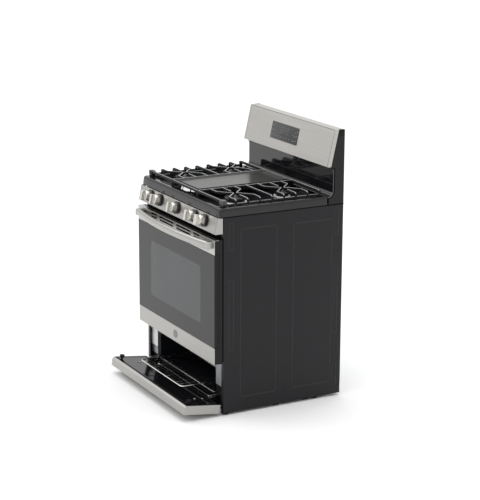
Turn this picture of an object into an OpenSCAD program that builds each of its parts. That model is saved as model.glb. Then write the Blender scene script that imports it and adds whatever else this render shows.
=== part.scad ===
// Freestanding 30-inch gas range: sealed-burner cooktop, oven, and a drop-down broiler door below it.
// Millimetres, +Z up, the front faces -Y. Modules draw from the plane of the side panels' front edges;
// at_origin() then moves the whole range so that its origin is the bottom centre of its bounding box.

/* [Body] */
// Overall width
body_w = 759; // [745:1:765]
// Depth of the side panels and rear panel
body_d = 590; // [580:1:620]
// Height of the side panels' lower edge above the floor
side_bottom = 12; // [10:1:16]
// Height of the side panels' top edge
side_top = 879; // [879:1:880]
// Thickness of the formed steel sheets
sheet = 1.5; // [1.2:0.1:2]

/* [Cooktop] */
// Height of the cooktop rim
rim_top = 919; // [918:1:920]
// Height of the recessed cooktop pan
pan_top = 906; // [904:1:907]
// Height of the top of the grates
grate_top = 948; // [946:1:950]
// Distance between neighbouring grate fingers
finger_pitch = 58.3; // [57:0.1:59]

/* [Backguard] */
// Height of the backguard's top edge
backguard_top = 1206; // [1190:1:1215]
// Half the width of the brushed backguard panel
backguard_half = 366.5; // [360:0.5:368]

/* [Oven] */
// Half the width of the oven cavity
oven_half = 303; // [298:1:304]
// Depth of the oven cavity
oven_depth = 488; // [470:1:495]
// Height of the oven floor
oven_low = 287; // [286:1:290]
// Height of the oven ceiling
oven_high = 758; // [750:1:760]

/* [Broiler] */
// Angle between the broiler door's open and closed positions
broiler_open = 82.3; // [70:0.1:84]
// How far the broiler rack stands out of its compartment
rack_out = 116; // [100:1:120]

/* [Controls] */
// Knob grip diameter
knob_d = 46; // [42:1:48]
// Places of the knobs along the control panel
knob_x = [-266, -172, 0, 172, 266];

/* [Hidden] */
$fn = 48;
eps = 0.01;
gap = 0.3;
half_w = body_w / 2;
bead = 1;
side_face = half_w - bead;

// Oven door, closed: front face, top, bottom and pivot
door_front = -43.3;
door_low = 236;
door_high = 785;
door_half = 378.5;
glass_low = 310;
glass_high = 721;
door_pivot = [-33, 254];
hinge_x = 326;

// Broiler door, drawn closed: front face, bottom, height, thickness and pivot
flap_front = -43.3;
flap_low = 45.5;
flap_len = 174.2;
flap_thick = 40;
flap_chamfer = 8;
flap_half = 377.5;
flap_pivot = [-12, 44];
strap_x = 286;
lug_x = 300;
pin_r = 4;
pin_bore_r = 4.08;

// Broiler compartment and its rack
bay_half = 278;
bay_low = 55;
bay_high = 205;
post_face = 17;
rack_z = 100;
rack_half = 208;
rack_back = 300;

// Control panel: foot of its sloping face, and the slope
panel_low = 809.5;
panel_foot = -40;
panel_lean = 11.2;
panel_len = 70.5;
knob_up = 39.3;
knob_len = 50;
drum_front = 34.5;
blade_w = 15;
stem_r = 3.5;

// Gas inlet and cord inlet bores at the rear
inlet_r = 10.8;
cord_r = 11;

// Touch control window in the backguard's sloping face: left edge, width, foot and height
window_x = -151;
window_w = 241;
window_up = 45;
window_h = 77;

// Backguard section: front face foot and head, end panel edge foot and head
face_foot = [506, 1046];
face_head = [542, backguard_top];
edge_foot = [522, 1041];
edge_head = [560, backguard_top];
fascia_depth = 16;
splash_centre = [507, 941];
splash_r = 28;
splash_wall = 4;
splash_top = 1036;
splash_y = splash_centre[0] + splash_r;
deck_top = splash_centre[1] - splash_r;
deck_y = 468;

// Grates: extents, bar section and burner places
grate_half = 362;
grate_split = 121;
grate_y0 = 10;
bar_w = 9;
bar_h = 12;
burner_x = 242;
front_burner_y = grate_y0 + 2 * finger_pitch;
rear_burner_y = grate_y0 + 6 * finger_pitch;
burner_r = [42, 34, 46, 30];
burner_at = [[-burner_x, front_burner_y], [-burner_x, rear_burner_y],
             [burner_x, front_burner_y], [burner_x, rear_burner_y]];
oval_y = [95, 385];
oval_r = 30;

// Levelling legs
leg_at = [[-352, 22], [352, 22], [-352, 467], [352, 467]];

// The bounding box runs from the open broiler door's front edge to the rear panel
flap_dz = flap_low + flap_len - flap_pivot[1];
flap_dy = flap_front - flap_pivot[0];
flap_tip_y = flap_pivot[0] + flap_dy * cos(broiler_open) - flap_dz * sin(broiler_open);
centre_y = (flap_tip_y + body_d) / 2;

// ---------- helpers ----------

module at_origin() translate([0, -centre_y, 0]) children();

// Points along an arc, from one angle to another
function arc(centre, r, a0, a1, n = 10) =
    [for (i = [0:n]) let (a = a0 + (a1 - a0) * i / n) centre + r * [cos(a), sin(a)]];

// A block from its lowest to its highest corner
module block(a, b) translate(a) cube(b - a);

// An outline drawn in the Y-Z plane, extruded along X between two places
module across(x0, x1) translate([x0, 0, 0]) rotate([90, 0, 90]) linear_extrude(x1 - x0) children();

// The same thing on both sides
module both() {
    children();
    mirror([1, 0, 0]) children();
}

// A rod between two points that lie along one axis
module rod_x(x0, x1, y, z, r) translate([x0, y, z]) rotate([0, 90, 0]) cylinder(r = r, h = x1 - x0);
module rod_y(x, y0, y1, z, r) translate([x, y1, z]) rotate([90, 0, 0]) cylinder(r = r, h = y1 - y0);

// A rectangular ring of a given bar width, drawn flat
module ring_outline(size, bar) difference() {
    square(size, center = true);
    square(size - [2 * bar, 2 * bar], center = true);
}

// Places for what turns with the broiler door, and for what stands on the control panel
module flap_pose() translate([0, flap_pivot[0], flap_pivot[1]]) rotate([broiler_open, 0, 0])
    translate([0, -flap_pivot[0], -flap_pivot[1]]) children();
module on_panel(x, up = knob_up)
    translate([x, panel_foot + up * sin(panel_lean), panel_low + up * cos(panel_lean)])
        rotate([90 - panel_lean, 0, 0]) children();

// ---------- casing ----------

// A raised stiffening bead on a side panel: a frame standing proud of the sheet
module side_bead(y0, y1, z0, z1, bar) translate([side_face - eps, (y0 + y1) / 2, (z0 + z1) / 2])
    rotate([90, 0, 90]) linear_extrude(bead + eps) ring_outline([y1 - y0, z1 - z0], bar);

module side_panel() color([0.13, 0.13, 0.14]) {
    difference() {
        block([side_face - 20, 0, side_bottom], [side_face, body_d - 2, side_top]);
        block([side_face - 21, sheet, side_bottom - 1],
              [side_face - sheet, body_d - 2 - sheet, side_top + 1]);
    }
    side_bead(82, 257, 74, 820, 5);
    side_bead(336, 526, 76, 816, 5);
    for (z = [[736, 851], [288, 602]]) side_bead(27, 47, z[0], z[1], 4);
    for (z = [[746, 864], [296, 600], [55, 152]]) side_bead(553, 571, z[0], z[1], 4);
}

module rear_panel() color([0.62, 0.63, 0.64]) difference() {
    block([-375, body_d - sheet, 60], [375, body_d, side_top - 1]);
    block([150, body_d - 5, 100], [260, body_d + 1, 215]);
    block([-300, body_d - 5, 300], [-220, body_d + 1, 380]);
    for (i = [0:11]) block([-110 + 20 * i, body_d - 5, 700], [-102 + 20 * i, body_d + 1, 760]);
}

// Rails under the body, bosses for the levelling legs, and lugs for the broiler door's pins
module base_frame() color([0.2, 0.2, 0.21]) difference() {
    union() {
        both() {
            block([338, 4, 26], [374, body_d - 6, 28]);
            block([338, 24, 26], [340, body_d - 6, 50]);
            for (p = leg_at) if (p[0] > 0) translate([p[0], p[1], 12]) cylinder(r = 13, h = 15);
            for (y = [250, 400]) block([350, y, 5], [372, y + 30, 27]);
            block([lug_x, -20, 34], [lug_x + 4, 32, 54]);
        }
        block([-340, 28, 26], [340, 32, 50]);
        block([-340, body_d - 30, 26], [340, body_d - 28, 50]);
    }
    for (p = leg_at) translate([p[0], p[1], 0]) cylinder(r = pin_bore_r, h = 60);
    rod_x(-lug_x - 10, lug_x + 10, flap_pivot[0], flap_pivot[1], pin_bore_r);
}

// The face frame round the oven mouth and, set back, round the broiler compartment
module front_frame() color([0.09, 0.09, 0.1]) {
    difference() {
        block([-376, 8, 228], [376, 10, panel_low - 1]);
        block([-oven_half - 2, 0, oven_low - 2], [oven_half + 2, 20, oven_high + 2]);
        both() block([hinge_x - 8, 0, 232], [hinge_x + 8, 20, 276]);
    }
    block([-376, 8, 226], [376, post_face + 2, 228 + eps]);
    difference() {
        block([-376, post_face, 34], [376, post_face + 2, 226 + eps]);
        block([-bay_half, 0, bay_low + 4], [bay_half, 30, bay_high]);
        both() block([lug_x - 20, 0, 20], [lug_x + 12, 30, bay_low + 12]);
    }
    block([-372, post_face - sheet, 130], [-312, post_face + eps, 219]);
    block([bay_half + 2, post_face - sheet, 116], [bay_half + 60, post_face + eps, 221]);
}

// ---------- oven ----------

rack_levels = [345, 415, 485, 555, 625];
module oven_liner() color([0.16, 0.17, 0.19]) {
    difference() {
        block([-oven_half - sheet, 10.2, oven_low - sheet],
              [oven_half + sheet, 12 + oven_depth + sheet, oven_high + sheet]);
        block([-oven_half, 0, oven_low], [oven_half, 12 + oven_depth, oven_high]);
        block([-oven_half + 20, 60, 200], [oven_half - 20, oven_depth - 40, 300]);
    }
    both() for (z = rack_levels)
        block([oven_half - 9, 30, z - 4], [oven_half + eps, oven_depth - 10, z]);
}

module oven_floor() color([0.13, 0.14, 0.15]) difference() {
    block([-oven_half + 1, 16, oven_low + gap], [oven_half - 1, oven_depth + 6, oven_low + gap + 2]);
    both() for (i = [0:9]) block([262, 60 + 38 * i, 200], [280, 86 + 38 * i, 400]);
}

module oven_insulation() color([0.85, 0.78, 0.45]) difference() {
    block([-oven_half - 30, 12, oven_low + 2], [oven_half + 30, oven_depth + 44, oven_high + 32]);
    block([-oven_half - sheet - 0.5, 0, 0], [oven_half + sheet + 0.5, 12 + oven_depth + sheet + 0.5,
          oven_high + sheet + 0.5]);
}

module oven_lamp() color([0.95, 0.95, 0.9]) {
    rod_y(-230, oven_depth - 4, oven_depth + 12, 690, 22);
    translate([-230, oven_depth - 6, 690]) sphere(r = 17);
}

// Burner tube loop at the top of the broiler compartment
module oven_burner() color([0.55, 0.55, 0.56]) {
    both() rod_y(95, 90, 430, 232, 13);
    rod_x(-95, 95, 90, 232, 12);
    rod_y(0, 84, 470, 232, 15);
    rod_x(-95, 95, 430, 232, 12);
}

module flame_spreader() color([0.4, 0.4, 0.42]) {
    across(-180, 180) polygon([[64, 254], [456, 254], [456, 262], [458, 262], [458, 252], [62, 252],
                               [62, 262], [64, 262]]);
}

// Compartment liner with two raised runners for the broiler rack
module broiler_liner() color([0.07, 0.07, 0.075]) {
    difference() {
        block([-bay_half - sheet, post_face + 2.2, bay_low - sheet],
              [bay_half + sheet, 490 + sheet, oven_low - 5]);
        block([-bay_half, 0, bay_low], [bay_half, 490, oven_low]);
    }
    both() {
        block([rack_half - 8, 24, 91], [rack_half + 14, 470, rack_z - 4 - gap]);
        for (y = [40, 240, 440]) block([rack_half + 2, y, bay_low - eps], [rack_half + 8, y + 20, 91 + eps]);
    }
}

// ---------- controls and gas ----------

module control_panel() color([0.74, 0.73, 0.71]) difference() {
    top = [panel_foot + panel_len * sin(panel_lean), panel_low + panel_len * cos(panel_lean)];
    across(-half_w + 0.5, half_w - 0.5)
        polygon([[panel_foot, panel_low], top, [-4, top[1]], [-4, panel_low]]);
    across(-half_w + 2.5, half_w - 2.5)
        polygon([[panel_foot + 2, panel_low + 2], [top[0] + 2, top[1] + 1], [0, top[1] + 1],
                 [0, panel_low + 2]]);
    for (x = knob_x) on_panel(x) translate([0, 0, -8]) cylinder(r = 6, h = 16);
}

// Manifold behind the control panel, with its feed along the right side to the regulator
module gas_manifold() color([0.6, 0.61, 0.62]) {
    m = [0, 18, 836];
    rod_x(-330, 358, m[1], m[2], 9);
    translate([358, m[1], m[2]]) sphere(r = 9);
    rod_y(358, m[1], 560, m[2], 6);
    translate([358, 560, m[2]]) sphere(r = 6);
    translate([358, 560, 160]) cylinder(r = 6, h = m[2] - 160);
    translate([358, 560, 160]) sphere(r = 6);
    rod_x(242, 358, 560, 160, 6);
}

module gas_valves() color([0.72, 0.66, 0.42]) for (x = knob_x) difference() {
    on_panel(x) {
        translate([-13, -13, -38]) cube([26, 26, 28]);
        translate([0, 0, -11]) cylinder(r = 9, h = 6);
    }
    on_panel(x) translate([0, 0, -36]) cylinder(r = stem_r + 0.06, h = 40);
}

module gas_regulator() color([0.62, 0.63, 0.64]) difference() {
    union() {
        block([180, 540, 138], [241.5, 572, 182]);
        rod_y(210, 571, body_d - 2, 160, 16);
        translate([210, 556, 181]) cylinder(r = 19, h = 16);
    }
    rod_y(210, body_d - 20, body_d, 160, inlet_r);
}

// A ring against the panel, a drum, and an upright blade across the drum to grip
module knob(x) color([0.7, 0.69, 0.66]) on_panel(x) difference() {
    union() {
        translate([0, 0, 5]) cylinder(r = knob_d / 2 + 5, h = 4);
        translate([0, 0, 9 - eps]) cylinder(r = knob_d / 2, h = drum_front - 9);
        intersection() {
            translate([0, 0, drum_front - 1]) cylinder(r = knob_d / 2, h = knob_len - drum_front + 1);
            translate([-blade_w / 2, -knob_d, drum_front - 1]) cube([blade_w, 2 * knob_d, knob_len]);
        }
    }
    translate([0, 0, 4]) cylinder(r = stem_r + 0.06, h = 19);
}

module valve_stem(x) color([0.75, 0.75, 0.76]) on_panel(x) {
    translate([0, 0, -31]) cylinder(r = stem_r, h = 52);
}

// ---------- cooktop ----------

// Section of the splash: flat, then an arc, then upright
module splash_section() polygon(concat(
    [[deck_y, deck_top - splash_wall]], arc(splash_centre, splash_r + splash_wall, -90, 0),
    [[splash_y + splash_wall, splash_top], [splash_y, splash_top]], arc(splash_centre, splash_r, 0, -90),
    [[deck_y, deck_top]]));

// Pan, rim and the splash that curves up at the back, all one enamelled pressing
module cooktop() color([0.05, 0.05, 0.055]) difference() {
    union() {
        difference() {
            block([-half_w, -20, side_top + 1.5], [half_w, splash_centre[0], rim_top]);
            block([-half_w + 2, -18, side_top - 1], [half_w - 2, splash_centre[0] + 2, pan_top - 2]);
            block([-345, 20, pan_top], [345, deck_y, rim_top + 1]);
            block([-backguard_half + 0.5, deck_y - eps, deck_top], [backguard_half - 0.5, 510, rim_top + 1]);
        }
        across(-half_w, half_w) splash_section();
    }
    for (p = burner_at) translate([p[0], p[1], 880]) cylinder(r = 20, h = 60);
    translate([0, 240, 880]) cylinder(r = 20, h = 60);
}

// A stadium outline: two round ends joined by straight sides
module stadium(r) {
    for (y = oval_y) translate([0, y]) circle(r = r);
    translate([-r, oval_y[0]]) square([2 * r, oval_y[1] - oval_y[0]]);
}

module burner_heads() color([0.76, 0.76, 0.75]) {
    for (i = [0:3]) translate([burner_at[i][0], burner_at[i][1], pan_top]) difference() {
        union() {
            cylinder(r = burner_r[i] + 6, h = 5);
            translate([0, 0, 5 - eps]) cylinder(r = burner_r[i] - 4, h = 12);
            translate([0, 0, -18]) cylinder(r = 16, h = 20);
        }
        for (a = [0:15:345]) rotate([0, 0, a])
            translate([burner_r[i] - 12, -1, 12]) cube([12, 2, 8]);
        translate([0, 0, -20]) cylinder(r = 8, h = 50);
    }
    translate([0, 0, pan_top]) {
        linear_extrude(4) stadium(oval_r + 5);
        translate([0, 0, 4 - eps]) linear_extrude(6) stadium(oval_r - 3);
        translate([0, 240, -18]) cylinder(r = 16, h = 20);
    }
}

module burner_caps() color([0.06, 0.06, 0.065]) {
    for (i = [0:3]) translate([burner_at[i][0], burner_at[i][1], pan_top + 17 + gap]) {
        cylinder(r = burner_r[i], h = 5);
        translate([0, 0, 5 - eps]) cylinder(r1 = burner_r[i] - 1, r2 = burner_r[i] - 6, h = 3);
    }
    translate([0, 0, pan_top + 10 + gap]) linear_extrude(4.5) stadium(oval_r);
}

module burner_igniters() color([0.9, 0.9, 0.88]) {
    for (i = [0:3]) translate([burner_at[i][0], burner_at[i][1] - burner_r[i] - 10, pan_top])
        cylinder(r = 3, h = 17);
    translate([0, oval_y[0] - oval_r - 9, pan_top]) cylinder(r = 3, h = 10);
}

// ---------- grates ----------

// One flat bar between two points, drawn in plan
module bar(a, b) {
    d = b - a;
    translate(a) rotate([0, 0, atan2(d[1], d[0])]) translate([0, -bar_w / 2]) square([norm(d), bar_w]);
}

// Fingers round one burner: two bent bars that turn in towards it, and two short straight ones
module burner_fingers(y) {
    inner = grate_split + 4;
    outer = grate_half - 4;
    mid = burner_x;
    for (s = [-1, 1]) {
        far = y + s * finger_pitch;
        near = y + s * 9;
        bend = 58;
        bar([inner, far], [mid - bend, far]);
        bar([mid - bend, far], [mid, near]);
        bar([mid, near], [mid + bend, far]);
        bar([mid + bend, far], [outer, far]);
        for (x = [mid - bend, mid, mid + bend])
            translate([x, x == mid ? near : far]) circle(d = bar_w);
    }
    bar([inner, y], [inner + 76, y]);
    bar([outer - 76, y], [outer, y]);
}

module side_grate() color([0.08, 0.08, 0.085]) {
    y8 = grate_y0 + 8 * finger_pitch;
    translate([0, 0, grate_top - bar_h]) linear_extrude(bar_h) {
        for (i = [0, 4, 8]) bar([grate_split + 1, grate_y0 + i * finger_pitch],
                                [grate_half, grate_y0 + i * finger_pitch]);
        for (y = [front_burner_y, rear_burner_y]) burner_fingers(y);
        bar([grate_split + 5.5, grate_y0], [grate_split + 5.5, y8]);
    }
    // outer rail, one step down, and the risers that carry each finger to it
    block([grate_half - 9, grate_y0 - 4, 921], [grate_half, y8 + 4, 930]);
    for (i = [0:8]) block([grate_half - 9, grate_y0 + i * finger_pitch - 4.5, 926],
                          [grate_half, grate_y0 + i * finger_pitch + 4.5, grate_top]);
    // feet: the front ones stand on the rim, with a broad one at the corner, and the rear ones on the deck
    block([grate_half - 34, grate_y0 - 6, rim_top + gap], [grate_half, grate_y0 + 14, grate_top - 2]);
    block([grate_half - 14, y8 - 6, deck_top + gap], [grate_half, y8 + 6, grate_top - 2]);
    for (y = [grate_y0, y8]) block([grate_split + 1, y - 4, (y < deck_y ? rim_top : deck_top) + gap],
                                   [grate_split + 11, y + 4, grate_top - 4]);
}

module grate_centre() color([0.08, 0.08, 0.085]) {
    y8 = grate_y0 + 8 * finger_pitch;
    for (y = [grate_y0, y8]) {
        block([-grate_split + 1, y - bar_w / 2, grate_top - bar_h],
              [grate_split - 1, y + bar_w / 2, grate_top]);
        both() block([grate_split - 11, y - 4, (y < deck_y ? rim_top : deck_top) + gap],
                     [grate_split - 1, y + 4, grate_top - 4]);
    }
    both() block([104, grate_y0, 922], [113, y8, 933]);
    for (i = [2, 4, 6]) block([-105, grate_y0 + i * finger_pitch - 4.5, 924],
                              [105, grate_y0 + i * finger_pitch + 4.5, 933]);
}

module griddle() color([0.3, 0.3, 0.3]) difference() {
    block([-112, 17.5, 933 + gap], [112, 468, 950]);
    block([-103, 27, 940], [103, 446, 952]);
    block([-94, 449, 937.5], [94, 462, 952]);
}

// ---------- backguard ----------

// Outline of an end plate, which stands a little behind the splash and follows its curve
module end_outline() {
    r = splash_r + splash_wall + 3.5;
    front = 5;
    polygon(concat(
        [[splash_centre[0] + front, side_top + 1.5]], arc(splash_centre, r, -acos(front / r), 0),
        [[splash_centre[0] + r, splash_top + 2.5], edge_foot, edge_head, [body_d - 2, backguard_top],
         [body_d - 2, side_top + 1.5]]));
}

module backguard_ends() color([0.12, 0.12, 0.13]) both() difference() {
    across(backguard_half + 0.2, half_w) end_outline();
    across(backguard_half - 1, half_w - 3)
        polygon([[546, 890], [546, 1044], [572, 1180], [578, 1180], [578, 890]]);
}

// The face runs the full width of the range; the shell behind it stands between the end plates
module backguard_front() color([0.76, 0.75, 0.73]) difference() {
    union() {
        across(-backguard_half, backguard_half)
            polygon([face_foot, face_head, [body_d - 4, backguard_top], [body_d - 4, 1090],
                     [532, edge_foot[1]], edge_foot]);
        both() across(backguard_half - 1, half_w)
            polygon([face_foot, face_head, face_head + [fascia_depth, 0], face_foot + [fascia_depth, 0]]);
    }
    across(-backguard_half + 2, backguard_half - 2)
        polygon([face_foot + [2.5, 2], face_head + [2, -2], [body_d + 2, backguard_top - 2],
                 [body_d + 2, 1000], [535, 1000], [533, edge_foot[1] + 2], edge_foot + [0, 2]]);
    on_face() translate([window_x, -5, window_up]) cube([window_w, 15, window_h]);
}

// Places for what lies in the backguard's sloping face: Y runs into the face, Z up along it
module on_face() translate([0, face_foot[0], face_foot[1]])
    rotate([-atan2(face_head[0] - face_foot[0], face_head[1] - face_foot[1]), 0, 0]) children();

// Glass in its window, and the electronic control behind it
module control_glass() color([0.12, 0.12, 0.13]) on_face() translate([window_x, 0, window_up]) {
    translate([gap, -0.8, gap]) cube([window_w - 2 * gap, 5, window_h - 2 * gap]);
    translate([12, 8, 4]) cube([window_w - 24, 12, window_h - 8]);
    translate([window_w / 2 - 10, 4, window_h / 2 - 10]) cube([20, 5, 20]);
}

// Sheet behind the backguard, and the terminal box's cover with the cord inlet
module rear_covers() color([0.5, 0.51, 0.52]) {
    difference() {
        block([-backguard_half + 3, body_d - 3.8, side_top + 3], [backguard_half - 3, body_d - 2.2, 1192]);
        for (i = [0:17]) block([-180 + 20 * i, body_d - 8, 1000], [-172 + 20 * i, body_d + 1, 1050]);
    }
    difference() {
        block([-298, body_d - 32, 302], [-222, body_d - 1, 378]);
        block([-296, body_d - 35, 304], [-224, body_d - 4, 376]);
        rod_y(-260, body_d - 10, body_d + 5, 340, cord_r);
    }
}

// ---------- oven door, drawn closed ----------

module door_glass() color([0.1, 0.1, 0.11])
    block([-door_half, door_front, glass_low + 0.5], [door_half, door_front + 4, glass_high - 0.5]);

slot_groups = [[-237, -184], [-151, -17], [17, 151], [184, 237]];
module door_top_trim() color([0.76, 0.75, 0.73]) difference() {
    block([-door_half, door_front, glass_high], [door_half, door_front + 22, door_high]);
    block([-door_half - 1, door_front + 2, glass_high - 1], [door_half + 1, door_front + 30, door_high - 2]);
    for (g = slot_groups, z = [759, 773]) block([g[0], door_front - 1, z], [g[1], door_front + 5, z + 6]);
}

module door_bottom_trim() color([0.76, 0.75, 0.73]) difference() {
    block([-door_half, door_front, door_low], [door_half, door_front + 22, glass_low]);
    block([-door_half - 1, door_front + 2, door_low + 2], [door_half + 1, door_front + 30, glass_low + 1]);
    hinge_notch();
}

module door_badge() color([0.55, 0.55, 0.55]) rod_y(0, door_front - 1.2, door_front, 272, 17);

// Room in the door for the arm that carries it
module hinge_notch() both()
    block([hinge_x - 6, door_front + 2, door_low - 3], [hinge_x + 6, 10, door_pivot[1] + 16]);

module door_frame() color([0.08, 0.08, 0.085]) {
    difference() {
        block([-door_half + 1, door_front + 22.5, door_low + 1], [door_half - 1, -5, door_high - 1]);
        block([-door_half + 3, door_front, door_low + 3], [door_half - 3, 0, door_high - 3]);
        hinge_notch();
    }
    difference() {
        block([-door_half + 2.5, door_front + 4.5, glass_low + 1],
              [door_half - 2.5, door_front + 22.6, glass_high - 1]);
        block([-door_half + 5, door_front, glass_low - 9], [door_half - 5, 0, glass_high + 9]);
    }
    both() for (z = [[door_low + 2.3, glass_low - gap], [glass_high + gap, door_high - 2.3]])
        block([door_half - 3, door_front + 2.3, z[0]], [door_half - 1, door_front + 22.6, z[1]]);
    both() rod_x(hinge_x - 12, hinge_x + 12, door_pivot[0], door_pivot[1], pin_r);
    both() for (x = [hinge_x - 12, hinge_x + 9])
        block([x, door_pivot[0] - 6, door_low + 2.5], [x + 3, -5.5, 330]);
}

module door_inner_glass() color([0.5, 0.55, 0.55, 0.4]) {
    block([-250, -20, 385], [250, -16, 655]);
    block([-250, -12, 385], [250, -8, 655]);
}

module door_liner() color([0.14, 0.15, 0.16]) difference() {
    union() {
        block([-door_half + 4, -4.8, door_low + 4], [door_half - 4, -3.3, door_high - 4]);
        block([-296, -3.4, 294], [296, 5, 751]);
    }
    block([-294.5, -10, 295.5], [294.5, 3.5, 749.5]);
    block([-232, -10, 405], [232, 10, 635]);
    hinge_notch();
}

module door_gasket() color([0.2, 0.2, 0.2]) translate([0, 7.5, (oven_low + oven_high) / 2])
    rotate([90, 0, 0]) linear_extrude(10.6) ring_outline([2 * oven_half + 24, oven_high - oven_low + 22], 8);

// The handle's bow: its centre line is an arc with this rise over this half-length
bow = 28;
handle_half = 340;
handle_r = (handle_half * handle_half + bow * bow) / (2 * bow);
handle_z = 760;
handle_front = -97;
module door_handle() color([0.76, 0.75, 0.73]) {
    half_angle = asin(handle_half / handle_r);
    translate([0, handle_r + handle_front, handle_z]) rotate([0, 0, -90 - half_angle])
        rotate_extrude(angle = 2 * half_angle, $fn = 200) translate([handle_r - 10, 0]) {
            for (s = [-1, 1]) translate([0, 8 * s]) circle(r = 10, $fn = 40);
            square([20, 16], center = true);
        }
}

module door_handle_mounts() color([0.8, 0.8, 0.79]) both() {
    block([handle_half + 1, -60, handle_z - 14], [360, door_front, handle_z + 14]);
    rod_x(handle_half + 1, 360, -60, handle_z, 14);
}

// Arms fixed to the body, which reach through the face frame and carry the oven door's pins
module door_hinge_arms() color([0.55, 0.56, 0.57]) both() difference() {
    union() {
        block([hinge_x - 4, door_pivot[0], 248], [hinge_x + 4, 60, 260]);
        rod_x(hinge_x - 4, hinge_x + 4, door_pivot[0], door_pivot[1], 7);
        block([hinge_x - 7, 12, 236], [hinge_x + 7, 90, 272]);
    }
    rod_x(hinge_x - 20, hinge_x + 20, door_pivot[0], door_pivot[1], pin_bore_r);
}

// ---------- broiler door, drawn closed and then laid open ----------

// Section of the door, with the back corner of its top edge cut off. The back may stand further out.
module flap_outline(inset, back = 0) {
    rear = flap_front + flap_thick + back;
    top = flap_low + flap_len - inset;
    cut = flap_chamfer + back;
    polygon([[flap_front + inset, flap_low + inset], [rear, flap_low + inset], [rear, top - cut],
             [rear - cut, top], [flap_front + inset, top]]);
}

// Room in the door for the straps, and for the body's lugs as the door turns round them
module lug_notch() both() block([lug_x - 9, -28, flap_low - 3], [lug_x + 8, 4, flap_low + 26]);

module broiler_door_skin() color([0.74, 0.74, 0.72]) flap_pose() difference() {
    across(-flap_half, flap_half) flap_outline(0);
    across(-flap_half + 2, flap_half - 2) flap_outline(2, 1);
    lug_notch();
}

module broiler_door_liner() color([0.04, 0.04, 0.045]) flap_pose() difference() {
    block([-flap_half + 3, -9, flap_low + 3], [flap_half - 3, -7.5, flap_low + flap_len - flap_chamfer - 2.5]);
    lug_notch();
}

module broiler_door_straps() color([0.4, 0.41, 0.42]) flap_pose() both() {
    block([strap_x - 9, -7.4, flap_low + 14], [strap_x + 9, -4.9, flap_low + 90]);
    block([strap_x + 6, -20, flap_low - 8], [strap_x + 9, -5, flap_low + 18]);
    rod_x(strap_x + 8, lug_x + 7, flap_pivot[0], flap_pivot[1], pin_r);
    for (z = [44, 82]) rod_y(strap_x - 2, -5, -3.4, flap_low + z, 4);
}

module broiler_door_bumpers() color([0.05, 0.05, 0.05]) flap_pose() both() {
    rod_y(345, -7.4, 3, 186, 5);
    rod_y(345, 3 - eps, 14, 186, 11);
}

// ---------- wire racks ----------

// Frame rods and thinner wires in one plane: half width, front, back, height, number of wires
module wire_rack(half, y0, y1, z, frame_r, wires, wire_r, $fn = 8) {
    rod_x(-half, half, y0, z, frame_r);
    rod_x(-half, half, y1, z, frame_r);
    both() rod_y(half - frame_r * 0.3, y0 - frame_r * 0.8, y1 + frame_r * 0.8, z, frame_r);
    step = 2 * half / (wires + 1);
    for (i = [1:wires]) rod_y(-half + i * step, y0, y1, z, wire_r);
}

module broiler_rack() color([0.78, 0.77, 0.74])
    wire_rack(rack_half, -rack_out, rack_back, rack_z, 4, 14, 1.8);

module oven_rack(z) color([0.7, 0.7, 0.69]) {
    wire_rack(oven_half - 5, 50, oven_depth - 30, z + 3.5 + gap, 3.5, 18, 1.8);
}

// ---------- levelling legs ----------

module leveling_leg(i) color([0.1, 0.1, 0.1]) translate([leg_at[i][0], leg_at[i][1], 0]) {
    cylinder(r = 17, h = 4);
    translate([0, 0, 4 - eps]) cylinder(r1 = 17, r2 = 10, h = 6);
    translate([0, 0, 9]) cylinder(r = pin_r, h = 23);
}

at_origin() {
    mirror([1, 0, 0]) side_panel();  // side_panel_left
    side_panel();  // side_panel_right
    rear_panel();
    base_frame();
    front_frame();
    oven_liner();
    oven_floor();
    oven_insulation();
    oven_lamp();
    oven_burner();
    flame_spreader();
    broiler_liner();
    control_panel();
    gas_manifold();
    gas_valves();
    gas_regulator();
    cooktop();
    burner_heads();
    burner_caps();
    burner_igniters();
    backguard_ends();
    backguard_front();
    rear_covers();
    control_glass();
    door_hinge_arms();
    door_glass();
    door_top_trim();
    door_bottom_trim();
    door_badge();
    door_frame();
    door_inner_glass();
    door_liner();
    door_gasket();
    door_handle();
    door_handle_mounts();
    broiler_door_skin();
    broiler_door_liner();
    broiler_door_straps();
    broiler_door_bumpers();
    broiler_rack();
    oven_rack(rack_levels[1]);  // oven_rack_lower
    oven_rack(rack_levels[3]);  // oven_rack_upper
    mirror([1, 0, 0]) side_grate();  // grate_left
    grate_centre();
    side_grate();  // grate_right
    griddle();
    for (i = [0:4]) {
        knob(knob_x[i]);
        valve_stem(knob_x[i]);
    }
    for (i = [0:3]) leveling_leg(i);
}
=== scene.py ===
"""A freestanding 30-inch gas range: its looks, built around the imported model.

Lengths in this script are millimetres in the range's own frame: X to the right, Y to the rear with 0 at
the side panels' front edges, and Z up from the floor. at() turns them into the frame's metres.
"""
import math

import bpy
from mathutils import Matrix, Vector


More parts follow.
